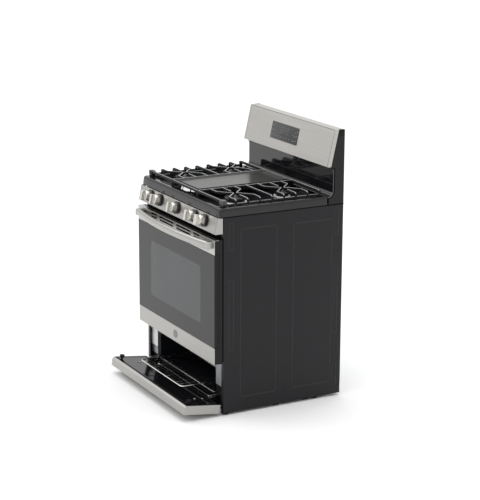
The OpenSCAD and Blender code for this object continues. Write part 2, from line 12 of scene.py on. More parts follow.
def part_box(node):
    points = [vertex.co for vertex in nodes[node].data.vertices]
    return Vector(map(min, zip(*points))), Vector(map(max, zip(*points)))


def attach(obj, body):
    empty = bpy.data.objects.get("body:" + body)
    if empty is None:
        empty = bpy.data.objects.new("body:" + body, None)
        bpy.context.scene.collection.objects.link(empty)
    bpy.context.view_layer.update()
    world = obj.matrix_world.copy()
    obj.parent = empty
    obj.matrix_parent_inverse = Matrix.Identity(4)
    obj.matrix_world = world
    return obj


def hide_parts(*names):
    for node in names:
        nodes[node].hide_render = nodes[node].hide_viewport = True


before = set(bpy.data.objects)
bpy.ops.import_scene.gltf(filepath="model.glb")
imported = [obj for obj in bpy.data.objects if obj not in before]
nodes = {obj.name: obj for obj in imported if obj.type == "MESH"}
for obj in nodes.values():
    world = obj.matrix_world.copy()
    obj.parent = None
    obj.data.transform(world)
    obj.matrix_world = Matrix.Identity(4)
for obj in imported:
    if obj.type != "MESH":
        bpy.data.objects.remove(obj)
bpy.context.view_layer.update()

MM = 0.001
FRONT_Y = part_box("side_panel_left")[0][1]  # where the side panels' front edges stand in the frame


def at(x, y, z):
    """A place in the range's own millimetres, as a point in the frame."""
    return Vector((x * MM, FRONT_Y + y * MM, z * MM))


def span(node):
    """The lowest and highest corners of a CAD node, in the range's own millimetres."""
    return [[p[0] / MM, (p[1] - FRONT_Y) / MM, p[2] / MM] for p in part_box(node)]


# ---------------- camera

CAMERA_AT = at(6190.1, -3060.4, 2458.1)
AZIMUTH, ELEVATION, ROLL = 61.63, 14.65, 0.255
FOCAL_LENGTH = 116.4  # mm, on a 36 mm long side


def add_camera():
    """The camera that was fitted to the photograph."""
    a, e, roll = (math.radians(v) for v in (AZIMUTH, ELEVATION, ROLL))
    back = Vector((math.sin(a) * math.cos(e), -math.cos(a) * math.cos(e), math.sin(e)))
    level = Vector((math.cos(a), math.sin(a), 0))
    upright = back.cross(level)
    right = level * math.cos(roll) + upright * math.sin(roll)
    up = upright * math.cos(roll) - level * math.sin(roll)
    data = bpy.data.cameras.new("camera")
    data.lens = FOCAL_LENGTH
    data.sensor_width = 36
    camera = bpy.data.objects.new("camera", data)
    bpy.context.scene.collection.objects.link(camera)
    camera.matrix_world = Matrix.Translation(CAMERA_AT) @ Matrix((right, up, back)).transposed().to_4x4()
    bpy.context.scene.camera = camera


# ---------------- materials

def noise_range(tree, noise, low=0.0, high=1.0):
    """Spreads the middle of a noise over the values from low to high."""
    spread = tree.nodes.new("ShaderNodeMapRange")
    spread.inputs["From Min"].default_value = 0.3
    spread.inputs["From Max"].default_value = 0.7
    spread.inputs["To Min"].default_value = low
    spread.inputs["To Max"].default_value = high
    tree.links.new(noise.outputs["Fac"], spread.inputs["Value"])
    return spread.outputs["Result"]


def relief(tree, noise, shader, strength):
    """Lets a noise raise and lower the surface, by a millimetre at most."""
    height = tree.nodes.new("ShaderNodeBump")
    height.inputs["Strength"].default_value = strength
    height.inputs["Distance"].default_value = MM
    tree.links.new(noise.outputs["Fac"], height.inputs["Height"])
    tree.links.new(height.outputs["Normal"], shader.inputs["Normal"])


def material(name, color, rough, metallic=0.0, specular=0.5, alpha=1.0, grain=(60, 60, 60), spread=0.12,
             rough_spread=0.08, bump=0.0, detail=3.0):
    """A Principled material whose colour, roughness and height vary with a noise of the given grain.

    grain is the noise's frequency along X, Y and Z, in cycles per metre, so unequal values brush it.
    """
    m = bpy.data.materials.new(name)
    m.use_nodes = True
    tree = m.node_tree
    shader = tree.nodes["Principled BSDF"]
    shader.inputs["Metallic"].default_value = metallic
    shader.inputs["Specular IOR Level"].default_value = specular
    shader.inputs["Alpha"].default_value = alpha
    place = tree.nodes.new("ShaderNodeTexCoord")
    scale = tree.nodes.new("ShaderNodeMapping")
    scale.inputs["Scale"].default_value = grain
    noise = tree.nodes.new("ShaderNodeTexNoise")
    noise.inputs["Scale"].default_value = 1.0
    noise.inputs["Detail"].default_value = detail
    tree.links.new(place.outputs["Object"], scale.inputs["Vector"])
    tree.links.new(scale.outputs["Vector"], noise.inputs["Vector"])
    mix = tree.nodes.new("ShaderNodeMix")
    mix.data_type = "RGBA"
    mix.inputs["A"].default_value = (*(c * (1 - spread) for c in color), 1)
    mix.inputs["B"].default_value = (*(min(1, c * (1 + spread)) for c in color), 1)
    tree.links.new(noise_range(tree, noise), mix.inputs["Factor"])
    tree.links.new(mix.outputs["Result"], shader.inputs["Base Color"])
    gloss = noise_range(tree, noise, max(0.0, rough - rough_spread), min(1.0, rough + rough_spread))
    tree.links.new(gloss, shader.inputs["Roughness"])
    if bump:
        relief(tree, noise, shader, bump)
    return m


FINISH = {
    "stainless": dict(color=(0.46, 0.447, 0.425), rough=0.33, metallic=1.0, grain=(4, 420, 420),
                      spread=0.05, rough_spread=0.05, bump=0.03),
    # the same stainless painted darker, as shade, for the control panel, the door's bottom trim and the
    # broiler flap
    "stainless_painted_shade": dict(color=(0.39, 0.383, 0.368), rough=0.33, metallic=1.0, grain=(4, 420, 420),
                       spread=0.05, rough_spread=0.05, bump=0.03),
    "knob_metal": dict(color=(0.66, 0.64, 0.60), rough=0.3, metallic=1.0, grain=(300, 300, 20),
                       spread=0.05, rough_spread=0.06, bump=0.04),
    "handle_metal": dict(color=(0.40, 0.392, 0.375), rough=0.34, metallic=1.0, grain=(5, 400, 400),
                         spread=0.05, rough_spread=0.06, bump=0.04),
    "end_cap_metal": dict(color=(0.40, 0.41, 0.41), rough=0.34, metallic=1.0, grain=(200, 200, 200),
                          spread=0.03),
    "side_paint": dict(color=(0.009, 0.009, 0.0105), rough=0.28, specular=0.24, grain=(900, 900, 900),
                       spread=0.1, rough_spread=0.05, bump=0.05),
    # the side paint made lighter and glossier, a painted highlight along the beads
    "side_bead": dict(color=(0.0115, 0.0115, 0.013), rough=0.27, specular=0.29, grain=(900, 900, 900),
                      spread=0.1),
    "frame_paint": dict(color=(0.005, 0.005, 0.0055), rough=0.4, specular=0.05, grain=(700, 700, 700),
                        bump=0.05),
    "door_paint": dict(color=(0.008, 0.008, 0.009), rough=0.4, specular=0.2, grain=(700, 700, 700),
                       bump=0.05),
    "oven_enamel": dict(color=(0.008, 0.009, 0.012), rough=0.3, specular=0.35, grain=(500, 500, 500),
                        spread=0.6, detail=5, rough_spread=0.06),
    "black_enamel": dict(color=(0.008, 0.008, 0.009), rough=0.08, specular=0.44, grain=(30, 30, 30),
                         spread=0.2, rough_spread=0.03, bump=0.02),
    "cast_iron": dict(color=(0.008, 0.008, 0.009), rough=0.45, specular=0.12, grain=(700, 700, 700),
                      spread=0.25, rough_spread=0.08, bump=0.12, detail=6),
    # the iron painted lighter as a highlight along the fingers' ridges
    "cast_iron_painted_ridge_highlight": dict(color=(0.34, 0.345, 0.355), rough=0.4, specular=0.5, grain=(700, 700, 700),
                           spread=0.2, bump=0.08, detail=6),
    # the iron painted lighter as a highlight over the rails' tops
    "cast_iron_painted_rail_highlight": dict(color=(0.11, 0.11, 0.115), rough=0.4, specular=0.45, grain=(700, 700, 700),
                           spread=0.2, bump=0.1, detail=6),
    # the iron painted lighter as light falling on the right grate's front foot
    "cast_iron_painted_lit_foot": dict(color=(0.045, 0.045, 0.048), rough=0.45, specular=0.4, grain=(700, 700, 700),
                           spread=0.2, bump=0.1, detail=6),
    "nonstick": dict(color=(0.025, 0.0245, 0.0225), rough=0.2, specular=0.15, grain=(8, 120, 120),
                     spread=0.06, rough_spread=0.02),
    "burner_metal": dict(color=(0.60, 0.59, 0.57), rough=0.5, metallic=0.6, grain=(500, 500, 500),
                         bump=0.12),
    # enamel painted lighter as the highlight along the splash's rolled edges
    "edge_enamel": dict(color=(0.06, 0.06, 0.063), rough=0.3, specular=0.6, grain=(200, 200, 200),
                        spread=0.1),
    # black for the enamelled lids, and painted shade on the heads' port walls
    "burner_soot": dict(color=(0.022, 0.022, 0.022), rough=0.45, specular=0.3, grain=(500, 500, 500),
                        bump=0.1),
    "tray_enamel": dict(color=(0.005, 0.005, 0.006), rough=0.1, specular=0.2, grain=(30, 30, 30),
                        spread=0.2, rough_spread=0.03),
    # the cooktop's enamel painted darker and duller in its sunk pan, as shade
    "pan_enamel_painted_shade": dict(color=(0.005, 0.005, 0.006), rough=0.3, specular=0.02, grain=(30, 30, 30),
                       spread=0.2, rough_spread=0.03, bump=0.02),
    "galvanised": dict(color=(0.36, 0.375, 0.395), rough=0.42, metallic=0.9, grain=(90, 90, 90),
                       spread=0.1, rough_spread=0.08, bump=0.05, detail=1),
    "chrome_wire": dict(color=(0.80, 0.78, 0.74), rough=0.16, metallic=1.0, grain=(250, 250, 250),
                        spread=0.06),
    "brass": dict(color=(0.62, 0.45, 0.18), rough=0.35, metallic=1.0, grain=(300, 300, 300), bump=0.06),
    "badge_metal": dict(color=(0.20, 0.195, 0.19), rough=0.3, metallic=1.0, grain=(400, 400, 400),
                        spread=0.08),
    "baffle_steel": dict(color=(0.96, 0.96, 0.96), rough=0.14, metallic=1.0, grain=(300, 300, 300),
                         spread=0.04),
    "seam": dict(color=(0.045, 0.045, 0.045), rough=0.6, grain=(300, 300, 300), spread=0.1),
    "steel": dict(color=(0.55, 0.55, 0.56), rough=0.3, metallic=1.0, grain=(300, 300, 300), bump=0.05),
    "rubber": dict(color=(0.010, 0.010, 0.010), rough=0.6, specular=0.12, grain=(500, 500, 500),
                   bump=0.15),
    # near-black painted shade in the vent slots, the cooktop's side gaps and over the broiler flap's hinge
    # flange
    "slot_black": dict(color=(0.002, 0.002, 0.002), rough=0.7, specular=0.02, grain=(500, 500, 500),
                       bump=0.1),
    "black_plastic": dict(color=(0.015, 0.015, 0.015), rough=0.4, specular=0.4, grain=(800, 800, 800),
                          bump=0.1),
    "ceramic": dict(color=(0.82, 0.8, 0.74), rough=0.5, grain=(400, 400, 400), bump=0.08, spread=0.05),
    "insulation": dict(color=(0.72, 0.62, 0.3), rough=0.95, specular=0.1, grain=(300, 300, 300),
                       spread=0.4, bump=0.8, detail=6),
    "gasket": dict(color=(0.08, 0.08, 0.08), rough=0.9, specular=0.2, grain=(900, 900, 900), spread=0.5,
                   bump=0.6),
    "dark_glass": dict(color=(0.008, 0.008, 0.009), rough=0.035, specular=0.29, grain=(6, 6, 6),
                       spread=0.1, rough_spread=0.01),
    "touch_glass": dict(color=(0.045, 0.0455, 0.047), rough=0.06, specular=0.36, grain=(6, 6, 6),
                        spread=0.1, rough_spread=0.01),
    "window_glass": dict(color=(0.055, 0.060, 0.062), rough=0.03, specular=0.36, alpha=0.84,
                         grain=(6, 6, 6), spread=0.1, rough_spread=0.01),
    "clear_glass": dict(color=(0.10, 0.11, 0.11), rough=0.03, specular=0.55, alpha=0.3, grain=(6, 6, 6),
                        spread=0.05, rough_spread=0.01),
    "label": dict(color=(0.74, 0.75, 0.76), rough=0.5, grain=(200, 200, 200), spread=0.03,
                  rough_spread=0.05),
    "print": dict(color=(0.24, 0.245, 0.25), rough=0.3, grain=(500, 500, 500), spread=0.1),
    "floor": dict(color=(0.77, 0.77, 0.77), rough=0.9, specular=0.1, grain=(2, 2, 2), spread=0.01,
                  rough_spread=0.02),
}
made = {}


def finish(name):
    """The material of a finish, made when it is first asked for."""
    if name not in made:
        made[name] = material(name, **FINISH[name])
    return made[name]


# ---------------- mesh building

TIP = 0.01  # the radius at which a turned profile closes on its axis
REARWARD = (0, 1, 0)
FORWARD = (0, -1, 0)


class Form:
    """Vertices and faces gathered from simple solids, in the range's own millimetres."""

    def __init__(self):
        self.verts = []
        self.faces = []
        self.mats = []

    def add(self, verts, faces, mats):
        base = len(self.verts)
        self.verts += [Vector(v) for v in verts]
        self.faces += [[base + i for i in f] for f in faces]
        self.mats += mats
        return self

    def loft(self, rings, caps=(True, True), closed=True, mat=0):
        """Quads between rings of equally many points, with a face across each end that caps asks for.

        mat is a material slot, or a function that gives the slot from the step and the place in the ring.
        """
        n = len(rings[0])
        slot = mat if callable(mat) else lambda step, place: mat
        faces, mats = [], []
        for k in range(len(rings) - 1):
            for i in range(n if closed else n - 1):
                j = (i + 1) % n
                faces.append([k * n + i, k * n + j, (k + 1) * n + j, (k + 1) * n + i])
                mats.append(slot(k, i))
        if caps[0]:
            faces.append(list(range(n))[::-1])
            mats.append(slot(0, 0))
        if caps[1]:
            faces.append([(len(rings) - 1) * n + i for i in range(n)])
            mats.append(slot(len(rings) - 2, 0))
        return self.add([v for r in rings for v in r], faces, mats)

    def upward(self, outline, z0, z1):
        """An outline of (x, y) points, counter-clockwise seen from above, extruded from z0 to z1."""
        return self.loft([level(outline, z) for z in (z0, z1)])

    def across(self, outline, x0, x1):
        """An outline of (y, z) points, counter-clockwise seen from +X, extruded from x0 to x1."""
        return self.loft([[(x, y, z) for y, z in outline] for x in (x0, x1)])

    def lathe(self, profile, centre, axis=(0, 0, 1), sides=48, teeth=None, mat=0):
        """A profile of (radius, height) turned round an axis. teeth(height) is the depth cut at each port."""
        z = Vector(axis).normalized()
        x = z.orthogonal().normalized()
        y = z.cross(x)
        rings = []
        for r, h in profile:
            ring = []
            for i in range(sides):
                cut = teeth(h) if teeth and i % 4 in (2, 3) else 0.0
                a = 2 * math.pi * i / sides
                ring.append(Vector(centre) + (x * math.cos(a) + y * math.sin(a)) * (r - cut) + z * h)
            rings.append(ring)
        return self.loft(rings, mat=mat)

    def tube(self, path, r, sides=8):
        """A round rod along a path."""
        path = [Vector(p) for p in path]
        turns = [2 * math.pi * k / sides for k in range(sides)]
        rings = []
        side = None
        for i, p in enumerate(path):
            ahead = path[min(i + 1, len(path) - 1)] - p
            behind = p - path[max(i - 1, 0)]
            along = (ahead.normalized() + behind.normalized()).normalized()
            if side is None:
                side = along.orthogonal().normalized()
            side = (side - along * side.dot(along)).normalized()
            other = along.cross(side)
            rings.append([p + side * (r * math.cos(t)) + other * (r * math.sin(t)) for t in turns])
        return self.loft(rings)

    def mirrored(self):
        """The same solids, and again on the other side of X = 0."""
        base = len(self.verts)
        self.verts += [Vector((-v.x, v.y, v.z)) for v in self.verts]
        self.faces += [[base + i for i in f[::-1]] for f in self.faces]
        self.mats += self.mats
        return self

    def flipped(self):
        """The same solids, moved to the other side of X = 0."""
        self.verts = [Vector((-v.x, v.y, v.z)) for v in self.verts]
        self.faces = [f[::-1] for f in self.faces]
        return self

    def turned(self, matrix):
        self.verts = [matrix @ v for v in self.verts]
        return self


def piece(name, form, body, look, replaces=(), bevel=0.0, sharp=40):
    """Makes the form a piece that rides on a body. look is a finish, or a list of finishes by face index."""
    looks = [look] if isinstance(look, str) else look
    data = bpy.data.meshes.new(name)
    data.from_pydata([at(*v) for v in form.verts], [], form.faces)
    for each in looks:
        data.materials.append(finish(each))
    for polygon, mat in zip(data.polygons, form.mats):
        polygon.material_index = mat
        polygon.use_smooth = True
    data.validate()
    data.update()
    data.set_sharp_from_angle(angle=math.radians(sharp))
    obj = bpy.data.objects.new(name, data)
    bpy.context.scene.collection.objects.link(obj)
    if bevel:
        soften(obj, bevel)
    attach(obj, body)
    if replaces:
        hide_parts(*replaces)


def soften(obj, width, segments=2):
    """Rounded edges."""
    round_off = obj.modifiers.new("edges", "BEVEL")
    round_off.width = width * MM
    round_off.segments = segments
    round_off.limit_method = "ANGLE"
    round_off.angle_limit = math.radians(35)
    round_off.harden_normals = True


def dress(node, look, bevel=0.0, segments=2):
    """Gives a CAD node its material and, where it is a formed sheet, rounded edges."""
    obj = nodes[node]
    obj.data.materials.clear()
    obj.data.materials.append(finish(look))
    if bevel:
        join = obj.modifiers.new("join", "WELD")
        join.merge_threshold = 0.01 * MM
        soften(obj, bevel, segments)


# ---------------- outlines

def arc(cx, cy, r, a0, a1, n=8):
    """Points on an arc between two angles in degrees."""
    turns = [math.radians(a0 + (a1 - a0) * i / n) for i in range(n + 1)]
    return [(cx + r * math.cos(t), cy + r * math.sin(t)) for t in turns]


def rounded(x0, y0, x1, y1, r, n=6, side=1):
    """A rectangle with round corners, counter-clockwise, with side points along each straight edge."""
    corners = [(x1 - r, y0 + r, -90), (x1 - r, y1 - r, 0), (x0 + r, y1 - r, 90), (x0 + r, y0 + r, 180)]
    points = []
    for cx, cy, a in corners:
        points += arc(cx, cy, r, a, a + 90, n)
    filled = []
    for p, q in zip(points, points[1:] + points[:1]):
        steps = side if math.dist(p, q) > 2 * r else 1
        filled += [(p[0] + (q[0] - p[0]) * k / steps, p[1] + (q[1] - p[1]) * k / steps) for k in range(steps)]
    return filled


def level(outline, z):
    """An outline of (x, y) points as a ring at a height."""
    return [(x, y, z) for x, y in outline]


def facing(outline, y):
    """An outline of (x, z) points as a ring at a depth."""
    return [(x, y, z) for x, z in outline]


# ---------------- casing

HALF = span("cooktop")[1][0]
SIDE_X = span("side_panel_right")[1][0] - 1  # the side sheet's flat face, which its beads stand out of
SHEET = 1.5
BEADS = [(82, 257, 74, 820, 12), (339, 531, 74, 817, 12), (26, 47, 736, 851, 6), (26, 47, 288, 602, 6),
         (544, 563, 746, 864, 6), (544, 563, 296, 600, 6), (544, 563, 55, 152, 6)]  # y, y, z, z, radius


def side_panels():
    """Folded sheets with raised stiffening beads, drawn on the right and mirrored."""
    low, high = span("side_panel_right")
    rear, fold, hem, inside = high[1], 3, SIDE_X - 20, SIDE_X - SHEET
    outline = [(hem, 0.3)] + arc(SIDE_X - fold, fold, fold, -90, 0, 4)
    outline += arc(SIDE_X - fold, rear - fold, fold, 0, 90, 4) + [(hem, rear)]
    outline += [(hem, rear - SHEET), (inside, rear - SHEET), (inside, 0.3 + SHEET), (hem, 0.3 + SHEET)]
    for name, opposite in (("side_panel_right", False), ("side_panel_left", True)):
        form = Form().upward(outline, low[2], high[2])
        for y0, y1, z0, z1, r in BEADS:
            bead(form, rounded(y0, z0, y1, z1, r, 5))
        if opposite:
            form.flipped()
        piece(name + "_sheet", form, "chassis", ["side_paint", "side_bead"], (name,), sharp=30)


def bead(form, loop):
    """A half-round ridge along a closed loop of (y, z) points on the right side panel, in slot 1's lighter
    paint, a painted highlight along it.
    """
    height, half_width = 1.3, 2.6
    section = [(-half_width, -0.2), (-half_width * 0.55, height * 0.7), (0, height),
               (half_width * 0.55, height * 0.7), (half_width, -0.2)]
    n = len(loop)
    rings = []
    for i in range(n + 1):
        here, after, before = (Vector(loop[k % n]) for k in (i, i + 1, i - 1))
        along = (after - before).normalized()
        out = Vector((along.y, -along.x))
        rings.append([(SIDE_X + h, *(here + out * s)) for s, h in section])
    form.loft(rings, caps=(False, False), closed=False, mat=1)


def chassis_nodes():
    """Looks for the CAD nodes of the casing, the oven and the gas parts."""
    for node, look, edge in (("rear_panel", "galvanised", 0), ("base_frame", "frame_paint", 0.5),
                             ("front_frame", "frame_paint", 0), ("rear_covers", "galvanised", 0),
                             ("gas_regulator", "galvanised", 1.5), ("gas_manifold", "galvanised", 0),
                             ("gas_valves", "brass", 1), ("door_hinge_arms", "steel", 0.8),
                             ("oven_insulation", "insulation", 0), ("oven_lamp", "clear_glass", 0),
                             ("oven_burner", "galvanised", 0), ("flame_spreader", "galvanised", 0),
                             ("oven_liner", "oven_enamel", 0), ("oven_floor", "oven_enamel", 0),
                             ("broiler_liner", "oven_enamel", 0)):
        dress(node, look, edge)


def post_plates():
    """Blank plates on the two posts beside the broiler opening."""
    plates = Form()
    for corners, depths, mat in (((-371, 115, -305, 218), (15.4, 14.6), 0),
                                 ((281, 117, 337, 220), (15.4, 14.6), 1),
                                 ((-368, 78, -307, 112), (16.9, 15.6), 1)):
        plates.loft([facing(rounded(*corners, 2, 3), y) for y in depths], mat=mat)
    piece("post_plates", plates, "chassis", ["label", "galvanised"], sharp=30)


def broiler_sill():
    """A bright wire along the broiler floor's front edge, and a thin bead along the rail below it."""
    right = [(278, 1), (282, 5), (282, 16.9)]
    left = [(-x, y) for x, y in right[::-1]]
    lip = Form().tube(level(left + right, 81), 1.0)
    piece("broiler_lip_wire", lip, "chassis", "chrome_wire", sharp=60)
    sill = Form().tube([(-272, -0.9, 49), (272, -0.9, 49)], 0.8)
    piece("broiler_sill_bead", sill, "chassis", "galvanised", sharp=60)


def kick_plate():
    """A strip with a folded foot that closes the gap between the broiler floor and the ground."""
    strip = [(18.9, 35.8), (18.9, 10), (20.1, 8.8), (27.5, 8.8), (27.5, 10), (20.4, 10.3), (20.1, 35.8)]
    plate = Form().across(strip, -288, 288)
    piece("base_kick_plate", plate, "chassis", "frame_paint", sharp=60)


def rear_screws():
    """Screw heads round the rear panel."""
    rear_face = 590
    head = [(4.5, -1.6), (4.5, -0.6), (3.6, 0), (TIP, 0)]
    screws = Form()
    for x in (-360, -120, 120, 360):
        for z in (80, 450, 860):
            screws.lathe(head, (x, rear_face, z), REARWARD, 12)
    piece("rear_panel_screws", screws, "chassis", "steel")


def legs():
    """A dished foot and a stem for each levelling leg."""
    foot = [(TIP, 0), (15.5, 0), (17, 1.5), (17, 4), (14.5, 6), (11, 9.5), (10.5, 10), (TIP, 10)]
    stem = [(4, 9), (4, 32), (TIP, 32)]
    for k in range(1, 5):
        leg = "leveling_leg_%d" % k
        (x0, y0, _), (x1, y1, _) = span(leg)
        ground = ((x0 + x1) / 2, (y0 + y1) / 2, 0)
        form = Form().lathe(foot, ground, sides=32).lathe(stem, ground, sides=16)
        piece(leg + "_foot", form, leg, "black_plastic", (leg,))


# ---------------- cooktop

PAN_Z = 906
DECK_Z = 913
DECK_Y = 468
BEND_AT = (507, 941)  # the y and z that the bend from the deck to the splash is drawn round
SPLASH_Y = 535
SPLASH_R = 28
SPLASH_SHEET = 3.5
EDGE_X = 377.5
BURNERS = [(-242, 126.6, 42), (-242, 359.8, 34), (242, 126.6, 46), (242, 359.8, 30)]  # x, y, cap radius
OVAL_Y = (95, 385)
OVAL_R = 30


def cooktop():
    """One pressing: a rolled front band, a rim, a sunk pan and a splash that curves up at the back."""
    front, rear, rim, splash_half = -20, 507, 919, 366
    steps = [(0.0, 0, 879.6, 6), (0.0, 0.5, 886, 6), (0.3, 2.6, 904, 7), (0.9, 4.2, 913, 8),
             (2.6, 6, 917.2, 8), (5.5, 8.5, rim, 9), (27, 27, rim, 10), (33, 33, 917.5, 11),
             (37, 37, 913, 13), (40, 40, 909, 15), (44, 44, 906.7, 18), (50, 50, PAN_Z, 22)]
    rings = []
    for side_in, front_in, z, r in steps:
        rear_in = max(0, side_in - 8)
        loop = rounded(-HALF + side_in, front + front_in, HALF - side_in, rear - rear_in, r, 6, 14)
        ring = []
        for x, y in loop:
            drop = min(1, max(0, (y - DECK_Y) / 12)) if abs(x) < splash_half else 0
            ring.append((x, y, z + (min(z, DECK_Z) - z) * drop))
        rings.append(ring)
    # from the seventh ring in, the pan takes the darker enamel, painted shade
    form = Form().loft(rings, caps=(False, True), mat=lambda step, place: 0 if step < 6 else 1)
    form.across(splash_outline(), -EDGE_X, EDGE_X)
    for x, y, r in BURNERS:
        spill_ring = [(r + 22, 905.5), (r + 19, 907.4), (r + 15, 908.2), (r + 10, 907.6), (r + 8, 905.5)]
        form.lathe(spill_ring, (x, y, 0), mat=1)
    looks = ["black_enamel", "pan_enamel_painted_shade"]
    piece("cooktop_pressing", form, "chassis", looks, ("cooktop",), sharp=32)


def splash_outline():
    """The splash's section, from the pan up to the edge behind the backguard and back again."""
    under = arc(*BEND_AT, SPLASH_R + SPLASH_SHEET, -90, 0, 12)
    over = arc(*BEND_AT, SPLASH_R, 0, -90, 12)
    head = [(SPLASH_Y + SPLASH_SHEET, 1030), (SPLASH_Y + SPLASH_SHEET, 1036), (SPLASH_Y, 1036)]
    return [(DECK_Y - 10, 904)] + under + head + over + [(DECK_Y + 6, DECK_Z), (DECK_Y - 10, PAN_Z + 0.4)]


def cooktop_seams():
    """A black strip in the gap between the cooktop and each side panel, painted shade for the gap."""
    gap = [(-16, 877.2), (588, 877.2), (588, 881.4), (-12, 881.4), (-15, 880.4)]
    seam = Form().across(gap, HALF - 0.5, HALF + 0.1)
    piece("cooktop_seams", seam.mirrored(), "chassis", "slot_black")


def splash_edges():
    """A thin round edge up each side of the splash, painted lighter as the highlight along it."""
    head = [(SPLASH_Y, 1024), (SPLASH_Y - 2, 1032), (SPLASH_Y - 6, 1035.5)]
    edge = Form().tube([(EDGE_X, y, z) for y, z in arc(*BEND_AT, SPLASH_R, -84, 0, 12) + head], 1.5)
    piece("splash_edges", edge.mirrored(), "chassis", "edge_enamel", sharp=60)


def oval(r, z):
    """A ring of a stadium's outline at a height."""
    return level(arc(0, OVAL_Y[1], r, 0, 180, 16) + arc(0, OVAL_Y[0], r, 180, 360, 16), z)


def burner_heads():
    """Cast heads with gas ports: four round ones, and a long one in the middle."""
    port_depth = lambda z: 3.5 if 914 < z < 922 else 0.0
    heads = Form()
    for x, y, r in BURNERS:
        wall = r - 3.5
        profile = [(TIP, 904), (r + 6, 904), (r + 6, 909.5), (r + 4.5, 911), (r - 2, 911.5), (wall, 914),
                   (wall, 914.5), (wall, 921.5), (wall, 922), (TIP, 923)]
        # slot 1 paints the port walls and the top under the lid dark, as shade
        heads.lathe(profile, (x, y, 0), sides=96, teeth=port_depth, mat=lambda step, place: int(step >= 4))
    heads.loft([oval(OVAL_R + 5, 904), oval(OVAL_R + 5, 909), oval(OVAL_R + 3.5, 910.3),
                oval(OVAL_R - 3, 910.6), oval(OVAL_R - 4, 916.5)])
    long_burner_ports(heads)
    looks = ["burner_metal", "burner_soot"]
    piece("burner_ports", heads, "chassis", looks, ("burner_heads",), sharp=35)


def long_burner_ports(heads):
    """Ribs along the straight sides of the long head and pins round its ends, with the ports between."""
    reach, z0, z1 = OVAL_R - 3.2, 910, 916.4
    ribs, pins, half_t, half_w = 24, 9, 1.2, 2.6
    for k in range(ribs):
        y = OVAL_Y[0] + k * (OVAL_Y[1] - OVAL_Y[0]) / (ribs - 1)
        for x in (-reach, reach):
            rib = [(x + i * half_t, y + j * half_w) for i, j in ((-1, -1), (1, -1), (1, 1), (-1, 1))]
            heads.upward(rib, z0, z1)
    for k in range(pins):
        a = math.pi * (k + 1) / (pins + 1)
        for y, s in ((OVAL_Y[0], -1), (OVAL_Y[1], 1)):
            centre = (math.cos(a) * reach, y + s * math.sin(a) * reach, 0)
            heads.lathe([(2.2, z0), (2.2, z1)], centre, sides=8)


def burner_lids():
    """Enamelled caps on the heads."""
    caps = Form()
    for x, y, r in BURNERS:
        profile = [(TIP, 923), (r - 1, 923), (r, 924), (r, 927), (r - 1.2, 928.6), (r - 5, 930.2),
                   (r - 12, 931), (TIP, 931.2)]
        caps.lathe(profile, (x, y, 0), sides=64)
    caps.loft([oval(OVAL_R - 1, 916.5), oval(OVAL_R, 917.2), oval(OVAL_R, 919.4), oval(OVAL_R - 2, 920.6),
               oval(OVAL_R - 8, 921)])
    piece("burner_lids", caps, "chassis", "burner_soot", ("burner_caps",), sharp=35)


def igniter_pins():
    """A ceramic pin in front of each burner."""
    tall = [(3, 906), (3, 919), (2.2, 920), (0.9, 920.4), (0.9, 923), (TIP, 923)]
    short = [(3, 906), (3, 914), (1, 914.6), (1, 917), (TIP, 917)]
    igniters = Form()
    for x, y, r in BURNERS:
        igniters.lathe(tall, (x, y - r - 10, 0), sides=16)
    igniters.lathe(short, (0, OVAL_Y[0] - OVAL_R - 9, 0), sides=16)
    piece("igniter_pins", igniters, "chassis", "ceramic", ("burner_igniters",), sharp=35)


# ---------------- grates

GRATE_TOP = span("grate_left")[1][2]
BARS = 9
PITCH = 58.3
BAR_Y = [10 + i * PITCH for i in range(BARS)]
FEET = ((BAR_Y[0], 919.3), (BAR_Y[-1], 913.3))  # y and z of the feet, on the rim and on the deck
BAR_W = 9
BAR_H = 12
SPLIT = 122  # x of the edge that a side grate has next to the centre one
OUTER = 362
# slots 1 to 3 are lighter copies of the iron: painted highlights on ridges and rail tops, painted light on
# the right front foot
CAST = ["cast_iron", "cast_iron_painted_ridge_highlight", "cast_iron_painted_rail_highlight", "cast_iron_painted_lit_foot"]


def finger(form, path, h=BAR_H, top=GRATE_TOP, rail=False):
    """A cast bar along a path of (x, y) or (x, y, z of its top), flat below, with chamfers on top.

    A lighter finish paints the highlight along a finger's narrow ridge, and over the whole top of a rail.
    """
    side, shoulder, ridge = BAR_W * 0.5, BAR_W * 0.40, BAR_W * 0.22
    section = [(-shoulder, -h), (shoulder, -h), (side, -h * 0.6), (shoulder, -2.6), (ridge, -0.5), (0, 0),
               (-ridge, -0.5), (-shoulder, -2.6), (-side, -h * 0.6)]
    points = [Vector((p[0], p[1], p[2] if len(p) > 2 else top)) for p in path]
    rings = []
    for i, p in enumerate(points):
        ahead = points[min(i + 1, len(points) - 1)] - p
        behind = p - points[max(i - 1, 0)]
        ahead.z = behind.z = 0
        ways = [v.normalized() for v in (ahead, behind) if v.length > 1e-6]
        along = sum(ways, Vector()).normalized()
        miter = 1.0
        if len(ways) == 2:
            miter = 1 / max(0.5, math.sqrt((1 + ways[0].dot(ways[1])) / 2))
        out = Vector((along.y, -along.x, 0)) * miter
        rings.append([p + out * s + Vector((0, 0, z)) for s, z in section])
    # the ridge or rail-top faces take a lighter slot, a painted highlight
    highlight_places, slot = ((3, 4, 5, 6), 2) if rail else ((4, 5), 1)
    form.loft(rings, mat=lambda step, place: slot if place in highlight_places else 0)


def post(form, x, y, hx, hy, z0, z1, mat=0):
    """An upright leg with a slight taper."""
    rings = []
    for k, z in ((0.82, z0), (0.9, z0 + 2), (1, (z0 + z1) / 2), (1, z1)):
        rings.append(level(rounded(x - hx * k, y - hy * k, x + hx * k, y + hy * k, 2, 2), z))
    form.loft(rings, mat=mat)


